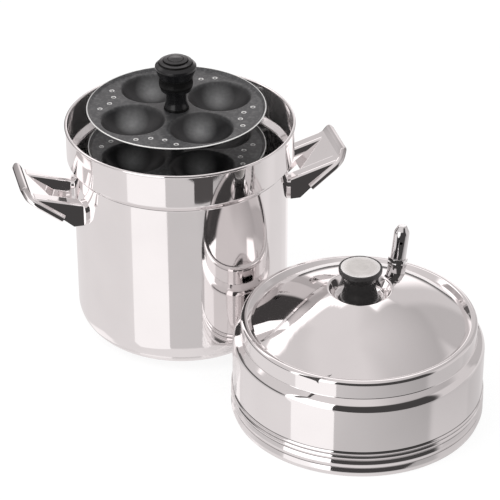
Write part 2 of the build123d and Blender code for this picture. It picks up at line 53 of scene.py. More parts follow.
# Pot
pot_centre = (0.0, 0.0)
pot_wall = 1.0
body_radius = 118.5
collar_radius = 125.0
collar_bottom = 214.0
collar_step_height = 7.0
pot_height = 253.0
base_corner_radius = 35.0
step_bend_radius = 4.0
rim_bead_radius = 1.7

# Lid
lid_centre = (191.5, -172.0)
lid_wall = 0.9
lid_radius = 134.0
lid_rib_depth = 1.8
lid_rib_bend_radius = 1.6
lid_rib_heights = [10.6, 20.1, 25.9, 30.6]
lid_shoulder_height = 84.0
lid_shoulder_radius = 12.0
lid_groove_radius = 125.4
lid_groove_height = 91.0
lid_groove_bend_radius = 1.2
lid_ring_radius = 125.2
lid_ring_height = 110.6
lid_ring_bend_radius = 4.4
lid_ring_inner_radius = 118.6
lid_ring_inner_bend_radius = 2.6
lid_crease_radius = 114.0
lid_crease_height = 106.6
lid_dome_bulge = 5.3
lid_crown_radius = 33.0
lid_crown_height = 146.0
lid_crown_bend_radius = 2.2
lid_dish_radius = 27.0
lid_dish_height = 132.5
lid_dish_bend_radius = 4.0

# Rack. A plate has a cup in each quarter, and vents on both sides of the middle between two cups,
# placed by their distance from the axis and their turn from that middle.
rack_turn = radians(31.0)
cup_circle_radius = 54.0
vent_places = [(83.0, radians(15.5)), (74.0, radians(6.0))]

# Where finish and painted light change: distances from a piece's axis, or from the middle of a cup or
# vent
# the handles' lips turn darker outwards between these: a painted dark reflection
lip_dark_reflection_reach = (174.0, 186.0)
# the knob's disc turns paler towards its rim between these: a painted highlight
disc_rim_highlight = (15.0, 20.5)
# painted shade round the knob, fading out between these
knob_shade_radii = (22.0, 60.0)
# bare cut edges of the plate and its vents, painted pale as a highlight
plate_bare_and_highlight_radius = 96.4
cup_edge = (32.0, 37.0)
vent_bare_and_highlight_radius = 2.9
bare_and_highlight_fade = 0.3

# A painted highlight near the bottom of each cup, which lies off the cup's middle
cup_highlight_radii = (2.0, 19.0)
cup_highlight_offset = (-2.0, 18.0)

# Dark lines of painted shade: in the turned grooves of the rack's knob, and in the folds of the sheet
knob_groove_radii = (8.5, 13.6, 18.2)
knob_groove_half_width = 0.6
fold_shade_half_width = 0.5
line_fade_shares = (0.4, 1.3)

# Turned meshes and their outlines
turned_segments = 256
rim_bead_segments = 24
arc_step = radians(5.0)
least_arc_steps = 3
sharp_angle = radians(32.0)
axis_tolerance = 1e-6

# Where most of a noise's values lie
noise_span = (0.3, 0.7)

# Polished steel: how much hazier its smears are, their shade, the haze of its specks, and how far
# the painted shade covers the folds
smear_haze_factor = 2.2
smear_shade = 0.965
speck_haze = 0.03
fold_shade_cover = (0.5, 0.95)

# Satin steel: the factors between which its roughness varies, and the shade of its tool lines
satin_roughness_factors = (0.8, 1.35)
tool_line_shade = 0.9

# Plain surfaces: the factors between which their roughness varies, the shade of their patches, and
# how many grains lie across a patch
plain_roughness_factors = (0.85, 1.2)
patch_shade = 0.8
grains_per_patch = 12

# Gloss of the black mouldings
moulding_roughness = (0.12, 0.30)
moulding_gloss = {"Specular IOR Level": 0.34, "Coat Weight": 0.12, "Coat Roughness": 0.08}

# Colours of the metals
steel_colour = (0.86, 0.835, 0.835)
inside_colour = (0.95, 0.92, 0.92)
chrome_colour = (0.80, 0.79, 0.79)
satin_colour = (0.62, 0.61, 0.60)
disc_colour = (0.87, 0.86, 0.835)
# a painted highlight on the rim of the knob's disc
disc_rim_highlight_colour = (1.0, 1.0, 0.99)
# a painted dark reflection on the handles' lips
lip_dark_reflection_colour = (0.27, 0.25, 0.25)
# painted shade in the folds of the sheet
fold_shade_colour = (0.03, 0.028, 0.028)
brass_colour = (0.72, 0.50, 0.22)

# Colours of the mouldings
lid_knob_colour = (0.036, 0.034, 0.034)
rack_knob_colour = (0.010, 0.010, 0.011)
fleck_colour = (0.06, 0.06, 0.06)
# painted shade in the turned grooves of the rack's knob
groove_shade_colour = (0.001, 0.001, 0.001)
sleeve_colour = (0.018, 0.018, 0.018)
rubber_colour = (0.03, 0.03, 0.03)

# Colours of the non-stick coating
coating_dark = (0.046, 0.046, 0.048)
coating_pale = (0.062, 0.062, 0.064)
coating_mottle = (0.12, 0.12, 0.122)
coating_fleck = (0.13, 0.13, 0.135)
# painted shade round the knob
coating_knob_shade = (0.02, 0.02, 0.021)
# painted shade on the walls of the cups, and a painted highlight near their bottoms
coating_cup_wall_shade = (0.008, 0.008, 0.009)
coating_cup_highlight = (0.21, 0.21, 0.212)
# bare cut edges, painted pale as a highlight
coating_bare_and_highlight = (0.85, 0.84, 0.83)

# How far parts of the coating, its painted shade and its painted highlights cover what lies under them
fleck_cover = 0.8
knob_shade_cover = 0.6
cup_wall_shade_cover = 0.92
cup_highlight_cover = 0.9
cup_highlight_mottle = (0.8, 1.0)

# Gloss of the coating, and how metallic its bare edges are
coating_roughness = (0.34, 0.44)
coating_specular = 0.36
bare_metallic = 0.2

# Camera, a long lens that looks down at the pot along +Y
camera_lens = 158.4
camera_sensor_width = 36.0
camera_pitch = radians(31.17)
camera_distance = 2.483
camera_target = Vector((0.07627, 0, 0.0876))

# Soft lamps
lamps = {
    "key": {"place": (-0.9, -0.6, 1.6), "aim": (0.05, 0, 0.1), "size": 1.1, "power": 9},
    "fill": {"place": (1.2, -0.9, 1.2), "aim": (0.1, 0, 0.1), "size": 1.2, "power": 4},
}

# World and floor
white = (1, 1, 1)
even_light = 0.75
mirrored_world_colour = (0.085, 0.08, 0.08)
floor_half_width = 6.0
floor_paper_colour = (0.8, 0.8, 0.8)
floor_glow = 1.16
floor_glow_share = 0.72

# Table top in the mirrors, whose front edge slants and which is darker to the right in front
table_height = -0.0002
table_half_width = 1.6
table_front_left = -1.316
table_front_right = 0.103
table_back = 0.62
table_colour = (0.635, 0.612, 0.612)
table_gloss_colour = (0.28, 0.28, 0.28)
table_gloss_roughness = 0.03
table_dark_share = 0.36
table_dark_across = (0.12, 0.42)
table_dark_along = (0.0, -0.2)

# Upright cards in the mirrors: a white board to the left in front, and a small dark card whose mirror
# image lies on the pot's collar. Their ends are places in plan.
cards = {
    "left_board": {
        "ends": ((-0.983, -0.796), (-0.348, -1.508)),
        "heights": (-0.2, 1.3),
        "colour": (1.0, 0.985, 0.985),
        "strength": 1.7,
    },
    "dark_edge": {
        "ends": ((0.069, -0.315), (0.15, -0.287)),
        "heights": (0.104, 0.141),
        "colour": (1.0, 0.93, 0.93),
        "strength": 0.085,
    },
}

# Room in the mirrors, a dome. Azimuths are degrees from the front to the right, elevations degrees up.
room_centre = Vector((0.09, -0.08, 0.1))
room_radius = 2.2
room_step = 2
room_elevations = (-30, 90)
room_colour = (1.0, 0.955, 0.955)
straight_down = -90

# Glow of its ceiling, which changes to the right, and there with the elevation
ceiling_glow = 0.79
right_azimuth = 97
right_spread = (0.1, 0.75)
right_elevations = (38, 85)
right_glows = (0.50, 0.77)

# Patches painted over each other: glow, then from, to and softness in azimuth and in elevation
wall_patches = {
    "left wall": (0.72, (235, 300, 6), (straight_down, 60, 5)),
    "foot of the left wall": (0.12, (235, 300, 6), (straight_down, 8, 3)),
    "right wall": (0.72, (66, 113, 4), (straight_down, 34, 4)),
    "back of the right wall": (0.55, (113, 140, 4), (straight_down, 36, 4)),
    "low back wall": (0.68, (140, 240, 4), (straight_down, 44, 3)),
    "bright gap in the back wall": (1.3, (156, 196, 4), (-2, 27, 3)),
    "dark left of the back wall": (0.14, (200, 245, 4), (straight_down, 14, 2)),
    "foot of the back wall": (0.14, (140, 245, 4), (straight_down, -4, 2)),
}

# Window at the back. The drops say by how much its bottom and its top come down between two azimuths.
window_glow = 1.6
window_azimuths = (145, 256, 3)
window_softness = 1.5
window_bottom = 45
bottom_drops = [(10, 200, 218)]
window_top = 63
top_drops = [(8.5, 195, 206), (9, 218, 262)]

# Dark room in front, outside these azimuths
front_glow = 0.062
outside_azimuths = (64, 338, 3)
front_elevations = (straight_down, 38, 4)


# Outlines


def rounded(points, bends):
    """An open outline in radius and height. Its corners are arcs, or sharp where the bend is zero."""
    line = [Vector(points[0])]
    for index, bend in enumerate(bends):
        corner = Vector(points[index + 1])
        if bend <= 0:
            line.append(corner)
            continue
        before = (Vector(points[index]) - corner).normalized()
        after = (Vector(points[index + 2]) - corner).normalized()
        half_angle = before.angle(after) / 2
        centre = corner + (before + after).normalized() * (bend / sin(half_angle))
        start = corner + before * (bend / tan(half_angle)) - centre
        end = corner + after * (bend / tan(half_angle)) - centre
        turn = start.angle_signed(end)
        count = max(least_arc_steps, round(abs(turn) / arc_step))
        for step in range(count + 1):
            line.append(centre + Matrix.Rotation(-turn * step / count, 2) @ start)
    line.append(Vector(points[-1]))
    return line


def moved(points, distance):
    """An open outline moved sideways, to the left of its direction, with mitred corners."""
    points = [Vector(p) for p in points]
    normals = []
    for a, b in zip(points, points[1:]):
        along = (b - a).normalized()
        normals.append(Vector((-along.y, along.x)))
    before, after = [normals[0]] + normals, normals + [normals[-1]]
    return [p + (n + m) * (distance / (1 + n.dot(m))) for p, n, m in zip(points, before, after)]


def moved_bends(points, bends, distance):
    """The bend radii of an outline that is moved to its left. Sharp corners stay sharp."""
    result = []
    for index, bend in enumerate(bends):
        a, b, c = (Vector(p) for p in points[index : index + 3])
        side = 1 if (b - a).cross(c - b) > 0 else -1
        result.append(max(bend - side * distance, 0) if bend else 0)
    return result


def inner_line(points, bends, thickness):
    """The other face of bent sheet: an outline with rounded bends, moved to its left."""
    return rounded(moved(points, thickness), moved_bends(points, bends, thickness))


def pot_outline():
    """The pot's drawn wall with its stepped collar and rolled rim, and where its inside starts."""
    bead_height = pot_height - rim_bead_radius
    bead_centre = Vector((collar_radius - pot_wall / 2, bead_height))
    neck = sqrt(rim_bead_radius**2 - (pot_wall / 2) ** 2)
    points = [
        (0, 0),
        (body_radius, 0),
        (body_radius, collar_bottom - collar_step_height),
        (collar_radius, collar_bottom),
        (collar_radius, bead_height - neck),
    ]
    bends = [base_corner_radius, step_bend_radius, step_bend_radius]
    start = atan2(-neck, pot_wall / 2)
    sweep = 2 * pi - 2 * (pi / 2 + start)
    outside = rounded(points, bends)
    for step in range(1, rim_bead_segments):
        angle = start + sweep * step / rim_bead_segments
        outside.append(bead_centre + rim_bead_radius * Vector((cos(angle), sin(angle))))
    return outside + inner_line(points, bends, pot_wall)[::-1], len(outside) - 1


def lid_outline():
    """The lid's ribbed skirt, shoulder, ring, dome and centre dish, as thick as its sheet."""
    points, bends = [(lid_radius, 0)], []
    low = 0
    for high in lid_rib_heights:
        points += [(lid_radius + lid_rib_depth, (low + high) / 2), (lid_radius, high)]
        bends += [lid_rib_bend_radius, lid_rib_bend_radius]
        low = high
    half_x = (lid_crease_radius - lid_crown_radius) / 2
    half_z = (lid_crown_height - lid_crease_height) / 2
    half_chord = hypot(half_x, half_z)
    half_turn = 2 * atan2(lid_dome_bulge, half_chord)
    apex_radius = lid_crown_radius + half_x + half_z * tan(half_turn)
    apex_height = lid_crease_height + half_z + half_x * tan(half_turn)
    points += [
        (lid_radius, lid_shoulder_height),
        (lid_groove_radius, lid_groove_height),
        (lid_ring_radius, lid_ring_height),
        (lid_ring_inner_radius, lid_ring_height),
        (lid_crease_radius, lid_crease_height),
        (apex_radius, apex_height),
        (lid_crown_radius, lid_crown_height),
        (lid_dish_radius, lid_dish_height),
        (0, lid_dish_height),
    ]
    bends += [
        lid_shoulder_radius,
        lid_groove_bend_radius,
        lid_ring_bend_radius,
        lid_ring_inner_bend_radius,
        0,
        (half_chord - lid_crown_bend_radius) / sin(half_turn),
        lid_crown_bend_radius,
        lid_dish_bend_radius,
    ]
    return rounded(points, bends) + inner_line(points, bends, lid_wall)[::-1]


# Meshes


def linked(name, data):
    """An object of the scene for a mesh, a light or a camera."""
    piece = bpy.data.objects.new(name, data)
    bpy.context.scene.collection.objects.link(piece)
    return piece


def turned(name, outline, centre, material, inside=None, inside_from=0):
    """A smooth piece turned about a vertical axis from a closed outline in radius and height.

    From a place in the outline on it may have a second finish, that of its inside.
    """
    vertices, rings = [], []
    for radius, height in outline:
        if radius < axis_tolerance:
            rings.append([len(vertices)] * turned_segments)
            vertices.append(Vector((*centre, height)) * MM)
            continue
        rings.append(list(range(len(vertices), len(vertices) + turned_segments)))
        for step in range(turned_segments):
            angle = 2 * pi * step / turned_segments
            x, y = centre[0] + radius * cos(angle), centre[1] + radius * sin(angle)
            vertices.append(Vector((x, y, height)) * MM)
    faces, finish = [], []
    for place, (low, high) in enumerate(zip(rings, rings[1:] + rings[:1])):
        for step in range(turned_segments):
            after = (step + 1) % turned_segments
            corners = [low[step], low[after], high[after], high[step]]
            face = [c for i, c in enumerate(corners) if c not in corners[:i]]
            if len(face) > 2:
                faces.append(face)
                finish.append(1 if inside and place >= inside_from else 0)
    mesh = bpy.data.meshes.new(name)
    mesh.from_pydata(vertices, [], faces)
    mesh.validate()
    mesh.polygons.foreach_set("use_smooth", [True] * len(mesh.polygons))
    mesh.set_sharp_from_angle(angle=sharp_angle)
    mesh.materials.append(material)
    if inside:
        mesh.materials.append(inside)
        mesh.polygons.foreach_set("material_index", finish)
    piece = linked(name, mesh)
    piece.modifiers.new("even_normals", "WEIGHTED_NORMAL").keep_sharp = True
    return piece


# Materials


class NodeTree:
    """The nodes of a material or of the world, added one by one."""

    def __init__(self, owner, last_kind):
        owner.use_nodes = True
        self.tree = owner.node_tree
        self.tree.nodes.clear()
        self.last = self.tree.nodes.new(last_kind)

    def join(self, value, socket):
        """Links an input to an output, or sets it to a number, a vector or a colour."""
        if isinstance(value, bpy.types.NodeSocket):
            self.tree.links.new(value, socket)
        elif socket.type == "RGBA":
            socket.default_value = (*value, 1)
        else:
            socket.default_value = value

    def add(self, kind, inputs=None, **settings):
        """A new node with its settings, and with its inputs by name or number."""
        node = self.tree.nodes.new(kind)
        for key, value in settings.items():
            setattr(node, key, value)
        for key, value in (inputs or {}).items():
            self.join(value, node.inputs[key])
        return node

    def mixed(self, factor, first, second):
        """Two shaders mixed into one."""
        return self.add("ShaderNodeMixShader", {0: factor, 1: first, 2: second}).outputs[0]

    def end(self, shader):
        """Joins a shader to the last node."""
        self.join(shader, self.last.inputs[0])


class Shader(NodeTree):
    """A material, with the coordinates of its object at hand."""

    def __init__(self, name):
        self.material = bpy.data.materials.new(name)
        super().__init__(self.material, "ShaderNodeOutputMaterial")
        self.place = self.add("ShaderNodeTexCoord").outputs["Object"]

    def math(self, operation, *values):
        """A number worked out from others."""
        return self.add("ShaderNodeMath", dict(enumerate(values)), operation=operation).outputs[0]

    def vector(self, operation, *values):
        """A vector worked out from others, or the distance between two."""
        node = self.add("ShaderNodeVectorMath", dict(enumerate(values)), operation=operation)
        return node.outputs["Value" if operation == "DISTANCE" else "Vector"]

    def parts(self, vector):
        """The three coordinates of a vector."""
        return self.add("ShaderNodeSeparateXYZ", {0: vector}).outputs

    def noise(self, scale, detail, place=None):
        """Noise with so many cells a metre, at a place or in the object's own coordinates."""
        inputs = {"Vector": place or self.place, "Scale": scale, "Detail": detail}
        return self.add("ShaderNodeTexNoise", inputs).outputs["Fac"]

    def ramp(self, value, span, result=(0, 1)):
        """A value that goes from one result to the other over a span, and stays there beyond it."""
        (start, end), (low, high) = span, result
        inputs = {"Value": value, "From Min": start, "From Max": end, "To Min": low, "To Max": high}
        return self.add("ShaderNodeMapRange", inputs).outputs["Result"]

    def blend(self, factor, first, second):
        """Two colours blended into one."""
        inputs = {"Factor": factor, 6: first, 7: second}
        return self.add("ShaderNodeMix", inputs, data_type="RGBA").outputs[2]

    def bump(self, height, strength, depth, normal=None):
        """A normal that follows a height, on top of the face's own normal or of another one."""
        inputs = {"Height": height, "Strength": strength, "Distance": depth}
        if normal is not None:
            inputs["Normal"] = normal
        return self.add("ShaderNodeBump", inputs).outputs["Normal"]

    def length(self, x, y):
        """The length of a vector in plan."""
        square = self.math("ADD", self.math("MULTIPLY", x, x), self.math("MULTIPLY", y, y))
        return self.math("SQRT", square)

    def height(self):
        """The height in millimetres."""
        return self.math("DIVIDE", self.parts(self.place)[2], MM)

    def spun(self, centre):
        """Coordinates in metres that change only with radius and height about a vertical axis."""
        x, y, z = self.parts(self.vector("SUBTRACT", self.place, (centre[0] * MM, centre[1] * MM, 0)))
        return self.add("ShaderNodeCombineXYZ", {0: self.length(x, y), 1: z}).outputs[0]

    def plan(self, centre):
        """Millimetre coordinates in plan about a vertical axis."""
        across, along, _ = self.parts(self.place)
        x = self.math("MULTIPLY_ADD", across, 1 / MM, -centre[0])
        y = self.math("MULTIPLY_ADD", along, 1 / MM, -centre[1])
        return x, y

    def quarter(self, centre, turn):
        """Millimetre coordinates in plan, folded into the half quarter about a direction."""
        x, y = self.plan(centre)
        radius = self.length(x, y)
        angle = self.math("SUBTRACT", self.math("ARCTAN2", y, x), turn)
        folded = self.math("ABSOLUTE", self.math("WRAP", angle, pi / 4, -pi / 4))
        across = self.math("MULTIPLY", radius, self.math("COSINE", folded))
        aside = self.math("MULTIPLY", radius, self.math("SINE", folded))
        return self.add("ShaderNodeCombineXYZ", {0: across, 1: aside}).outputs[0]

    def away_from(self, place, point):
        """The distance of a place in plan from a point."""
        return self.vector("DISTANCE", place, (*point, 0))

    def from_axis(self, centre):
        """The distance in millimetres from a vertical axis."""
        return self.length(*self.plan(centre))

    def lines_at(self, measure, places, half_width):
        """One on thin lines where a measure passes certain places, with soft edges."""
        fade = [half_width * share for share in line_fade_shares]
        lines = 0.0
        for place in places:
            off = self.math("ABSOLUTE", self.math("SUBTRACT", measure, place))
            lines = self.math("MAXIMUM", lines, self.ramp(off, fade, (1, 0)))
        return lines

    def glow(self, colour, strength):
        """An even glow."""
        return self.add("ShaderNodeEmission", {"Color": colour, "Strength": strength}).outputs[0]

    def finished(self, shader):
        """The material, ended in a shader."""
        self.end(shader)
        return self.material

    def surface(self, colour, roughness, normal, more=None):
        """The material, ended in a principled shader with certain inputs."""
        inputs = {"Base Color": colour, "Roughness": roughness, "Normal": normal, **(more or {})}
        return self.finished(self.add("ShaderNodeBsdfPrincipled", inputs).outputs[0])


def darker(colour, share):
    """A share of a colour."""
    return tuple(c * share for c in colour)


def polished_steel(
    name,
    centre,
    colour=steel_colour,
    haze=0.035,
    waviness=0.10,
    rise=0.0,
    metallic=1.0,
    dark_reflection_reach=None,
    folds=(),
):
    """Mirror-polished steel: fine spinning lines, faint smears of haze and slightly uneven sheet.

    A rise makes upright faces mirror what lies higher, as faces that are drawn in towards their top do.
    Over a span of distances from the axis, if given, a painted dark reflection darkens the steel
    outwards.
    Folds are the heights of the folds of the sheet, along which shade is painted as dark lines.
    """
    shader = Shader(name)
    lines = shader.noise(scale=2600.0, detail=4.0, place=shader.spun(centre))
    smears = shader.noise(scale=22.0, detail=4.0)
    broad = shader.noise(scale=9.0, detail=1.0)
    specks = shader.noise(scale=1500.0, detail=2.0)
    on_smears = shader.ramp(smears, (0.35, 0.75), (haze, haze * smear_haze_factor))
    on_specks = shader.ramp(specks, (0.66, 0.8), (0, speck_haze))
    roughness = shader.math("ADD", on_smears, on_specks)
    normal = None
    if rise:
        face = shader.add("ShaderNodeNewGeometry").outputs["Normal"]
        normal = shader.vector("NORMALIZE", shader.vector("ADD", face, (0, 0, rise)))
    normal = shader.bump(broad, strength=waviness, depth=4.0 * MM, normal=normal)
    normal = shader.bump(lines, strength=0.05, depth=0.03 * MM, normal=normal)
    tint = shader.blend(shader.ramp(smears, (0.3, 0.8)), colour, darker(colour, smear_shade))
    # a painted dark reflection, darker outwards across the handles' lips
    if dark_reflection_reach:
        tint = shader.blend(shader.ramp(shader.from_axis(centre), dark_reflection_reach), tint, lip_dark_reflection_colour)
    # painted shade along the folds of the sheet
    if folds:
        fold_shade = shader.lines_at(shader.height(), folds, fold_shade_half_width)
        uneven = shader.ramp(smears, (0.35, 0.7), fold_shade_cover)
        tint = shader.blend(shader.math("MULTIPLY", fold_shade, uneven), tint, fold_shade_colour)
    return shader.surface(tint, roughness, normal, {"Metallic": metallic})


def satin_steel(name, centre, colour=satin_colour, roughness=0.24, rim=None):
    """Turned steel with visible tool lines, which may get paler towards its rim: a painted highlight."""
    shader = Shader(name)
    lines = shader.noise(scale=1800.0, detail=3.0, place=shader.spun(centre))
    smears = shader.noise(scale=60.0, detail=3.0)
    rough = shader.ramp(smears, noise_span, [roughness * factor for factor in satin_roughness_factors])
    normal = shader.bump(lines, strength=0.25, depth=0.08 * MM)
    tint = shader.blend(shader.ramp(lines, (0.35, 0.65)), colour, darker(colour, tool_line_shade))
    # a painted highlight, paler towards the rim
    if rim:
        tint = shader.blend(shader.ramp(shader.from_axis(centre), rim), tint, disc_rim_highlight_colour)
    return shader.surface(tint, rough, normal, {"Metallic": 1.0})


def moulded_black(name, colour, centre=None, grooves=()):
    """Glossy black phenolic moulding: a faint orange peel, less glossy handled patches and rare pale
    specks.

    Grooves are the distances from the axis of turned grooves, in which shade is painted dark.
    """
    shader = Shader(name)
    peel = shader.noise(scale=420.0, detail=3.0)
    handled = shader.noise(scale=55.0, detail=4.0)
    flecks = shader.noise(scale=1900.0, detail=1.0)
    roughness = shader.ramp(handled, (0.35, 0.72), moulding_roughness)
    tint = shader.blend(shader.ramp(flecks, (0.70, 0.80)), colour, fleck_colour)
    normal = shader.bump(peel, strength=0.10, depth=0.12 * MM)
    # turned grooves, with painted shade in them
    if grooves:
        groove_and_shade = shader.lines_at(shader.from_axis(centre), grooves, knob_groove_half_width)
        tint = shader.blend(groove_and_shade, tint, groove_shade_colour)
        roughness = shader.math("MAXIMUM", roughness, groove_and_shade)
        normal = shader.bump(groove_and_shade, strength=-0.8, depth=0.6 * MM, normal=normal)
    return shader.surface(tint, roughness, normal, moulding_gloss)


def nonstick(name, centre):
    """Charcoal non-stick coating with sprayed grain, paler flecks and mottle, and painted shade round the
    knob.
    """
    shader = Shader(name)
    grain = shader.noise(scale=1300.0, detail=4.0)
    flecks = shader.noise(scale=700.0, detail=2.0)
    cloud = shader.noise(scale=35.0, detail=3.0)
    mottle = shader.noise(scale=260.0, detail=4.0)
    tint = shader.blend(shader.ramp(cloud, noise_span), coating_dark, coating_pale)
    tint = shader.blend(shader.ramp(mottle, (0.45, 0.75)), tint, coating_mottle)
    tint = shader.blend(shader.ramp(flecks, (0.64, 0.76), (0, fleck_cover)), tint, coating_fleck)
    from_middle = shader.from_axis(centre)
    # painted shade round the knob
    tint = shader.blend(shader.ramp(from_middle, knob_shade_radii, (knob_shade_cover, 0)), tint, coating_knob_shade)

    # painted shade on the walls of the cups, and a painted highlight near their bottoms
    from_cup = shader.away_from(shader.quarter(centre, rack_turn), (cup_circle_radius, 0))
    in_cup = shader.ramp(from_cup, cup_edge, (1, 0))
    highlight_centre = [a + b for a, b in zip(centre, cup_highlight_offset)]
    from_highlight = shader.away_from(shader.quarter(highlight_centre, rack_turn), (cup_circle_radius, 0))
    highlight_area = shader.math("MULTIPLY", shader.ramp(from_highlight, cup_highlight_radii, (1, 0)), in_cup)
    highlight_share = shader.math("MULTIPLY", highlight_area, shader.ramp(mottle, (0.35, 0.7), cup_highlight_mottle))
    tint = shader.blend(shader.math("MULTIPLY", in_cup, cup_wall_shade_cover), tint, coating_cup_wall_shade)
    tint = shader.blend(shader.math("MULTIPLY", highlight_share, cup_highlight_cover), tint, coating_cup_highlight)

    # bare cut edges of the plate and of its vents, drawn pale white as a painted highlight
    bare_and_highlight = shader.ramp(from_middle, (plate_bare_and_highlight_radius, plate_bare_and_highlight_radius + bare_and_highlight_fade))
    between_cups = shader.quarter(centre, rack_turn + pi / 4)
    for radius, turn in vent_places:
        from_vent = shader.away_from(between_cups, (radius * cos(turn), radius * sin(turn)))
        edge = shader.ramp(from_vent, (vent_bare_and_highlight_radius - bare_and_highlight_fade, vent_bare_and_highlight_radius), (1, 0))
        bare_and_highlight = shader.math("MAXIMUM", bare_and_highlight, edge)
    tint = shader.blend(bare_and_highlight, tint, coating_bare_and_highlight)

    roughness = shader.ramp(cloud, noise_span, coating_roughness)
    normal = shader.bump(grain, strength=0.22, depth=0.10 * MM)
    metallic = shader.math("MULTIPLY", bare_and_highlight, bare_metallic)
    gloss = {"Metallic": metallic, "Specular IOR Level": coating_specular}
    return shader.surface(tint, roughness, normal, gloss)


def plain(name, colour, roughness, metallic=0.0, grain=500.0):
    """A simple moulded or turned surface with fine grain and uneven sheen."""
    shader = Shader(name)
    fine = shader.noise(scale=grain, detail=3.0)
    broad = shader.noise(scale=grain / grains_per_patch, detail=3.0)
    tint = shader.blend(shader.ramp(broad, noise_span), colour, darker(colour, patch_shade))
    rough = shader.ramp(broad, noise_span, [roughness * factor for factor in plain_roughness_factors])
    normal = shader.bump(fine, strength=0.2, depth=0.1 * MM)
    return shader.surface(tint, rough, normal, {"Metallic": metallic})


rack_low, rack_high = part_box("rack_rod")
rack_centre = tuple((a + b) / 2 / MM for a, b in zip(rack_low[:2], rack_high[:2]))

pot_folds = [collar_bottom - collar_step_height]
steel_pot = polished_steel("polished_steel_pot", pot_centre, folds=pot_folds)
steel_lid = polished_steel("polished_steel_lid", lid_centre, folds=lid_rib_heights)
steel_inside = polished_steel(
    "polished_steel_inside", pot_centre, inside_colour, haze=0.07, waviness=0.3, metallic=0.86
)
steel_handle = polished_steel(
    "polished_steel_handle", pot_centre, waviness=0.05, rise=0.42, dark_reflection_reach=lip_dark_reflection_reach
)
steel_pads = polished_steel("polished_steel_pads", pot_centre, waviness=0.05)
chrome = polished_steel("bright_chrome", lid_centre, chrome_colour, haze=0.03, waviness=0.05)
disc_steel = satin_steel("satin_disc_steel", lid_centre, disc_colour, 0.20, disc_rim_highlight)
steel_lid_parts = satin_steel("satin_steel_lid", lid_centre)
steel_rack_parts = satin_steel("satin_steel_rack", rack_centre)
lid_moulding = moulded_black("black_moulding_lid", lid_knob_colour)
rack_moulding = moulded_black("black_moulding_rack", rack_knob_colour, rack_centre, knob_groove_radii)
coating = nonstick("charcoal_nonstick", rack_centre)
sleeve = plain("black_sleeve", sleeve_colour, roughness=0.38)
brass = plain("turned_brass", brass_colour, roughness=0.3, metallic=1.0, grain=900.0)
rubber = plain("grey_rubber", rubber_colour, roughness=0.7)

finishes = {
    "pot_shell": steel_pot,
    "left_handle": steel_handle,
    "right_handle": steel_handle,
    "left_handle_weld_pads": steel_pads,
    "right_handle_weld_pads": steel_pads,
    "lid_shell": steel_lid,
    "lid_seat_ring": steel_lid,
    "lid_saucer": steel_lid,
    "lid_knob": lid_moulding,
    "lid_knob_disc": disc_steel,
    "lid_screw": steel_lid_parts,
    "lid_screw_washer": steel_lid_parts,
    "whistle_base": chrome,
    "whistle_collar": chrome,
    "whistle_cap": chrome,
    "vent_pipe": steel_lid_parts,
    "whistle_nut": steel_lid_parts,
    "whistle_gasket": rubber,
    "rack_rod": steel_rack_parts,
    "rack_legs": steel_rack_parts,
    "rack_leg_rivets": steel_rack_parts,
    "rack_washer": steel_rack_parts,
    "rack_nut": steel_rack_parts,
    "rack_knob": rack_moulding,
    "rack_knob_insert": brass,
    "top_spacer": rack_moulding,
}
for name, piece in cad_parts.items():
    if name.startswith("idli_plate"):
        finish = coating
    elif name.startswith("spacer"):
        finish = sleeve
    else:
        finish = finishes[name]
    piece.data.materials.clear()
    piece.data.materials.append(finish)


# Pot and lid

pot_line, inside_start = pot_outline()
pot_body = turned("pot_body", pot_line, pot_centre, steel_pot, steel_inside, inside_start)
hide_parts("pot_shell")
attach(pot_body, "pot")

lid_body = turned("lid_body", lid_outline(), lid_centre, steel_lid)
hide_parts("lid_shell")
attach(lid_body, "lid")


# Brightness of the room


def between(first, second, share):
    """A value at a share of the way from the first to the second."""
    return first + (second - first) * share


def smooth_step(value, low, high):
    """Rises from zero at low to one at high, with soft ends."""
    share = min(1.0, max(0.0, (value - low) / (high - low)))
    return share * share * (3 - 2 * share)


def within(value, low, high, soft):
    """One between low and high, zero outside, with soft ends."""
    return smooth_step(value, low - soft, low + soft) * (1 - smooth_step(value, high - soft, high + soft))


def dropped(height, drops, azimuth):
    """A height at an azimuth, less what it has dropped by there."""
    for drop, start, end in drops:
        height -= drop * smooth_step(azimuth, start, end)
    return height


def ceiling_level(azimuth, elevation):
    """How bright the ceiling is: darker to the right, and there darker still towards the wall."""
    low, high = right_elevations
    right_level = between(*right_glows, (elevation - low) / (high - low))
    to_right = smooth_step(cos(radians(azimuth - right_azimuth)), *right_spread)
    return between(ceiling_glow, right_level, to_right)


def room_level(azimuth, elevation):
    """How bright the studio is in a direction."""
    level = ceiling_level(azimuth, elevation)
    for glow, azimuths, elevations in wall_patches.values():
        level = between(level, glow, within(azimuth, *azimuths) * within(elevation, *elevations))
    bottom = dropped(window_bottom, bottom_drops, azimuth)
    top = dropped(window_top, top_drops, azimuth)
    in_window = within(azimuth, *window_azimuths) * within(elevation, bottom, top, window_softness)
    level = between(level, window_glow, in_window)
    in_front = (1 - within(azimuth, *outside_azimuths)) * within(elevation, *front_elevations)
    return between(level, front_glow, in_front)


# Stage


def stage_mesh(name, vertices, faces, material):
    """A piece of the studio from vertices in metres."""
    mesh = bpy.data.meshes.new(name)
    mesh.from_pydata(vertices, [], faces)
    mesh.materials.append(material)
    return linked(name, mesh)


def flat_mesh(name, corners, material):
    """A flat piece of the studio from its corners in metres."""
    return stage_mesh(name, corners, [list(range(len(corners)))], material)


def hide_but_from_mirrors(piece):
    """Leaves a piece of the studio to reflections alone."""
    piece.visible_camera = False
    piece.visible_diffuse = False
    piece.visible_transmission = False
    piece.visible_shadow = False


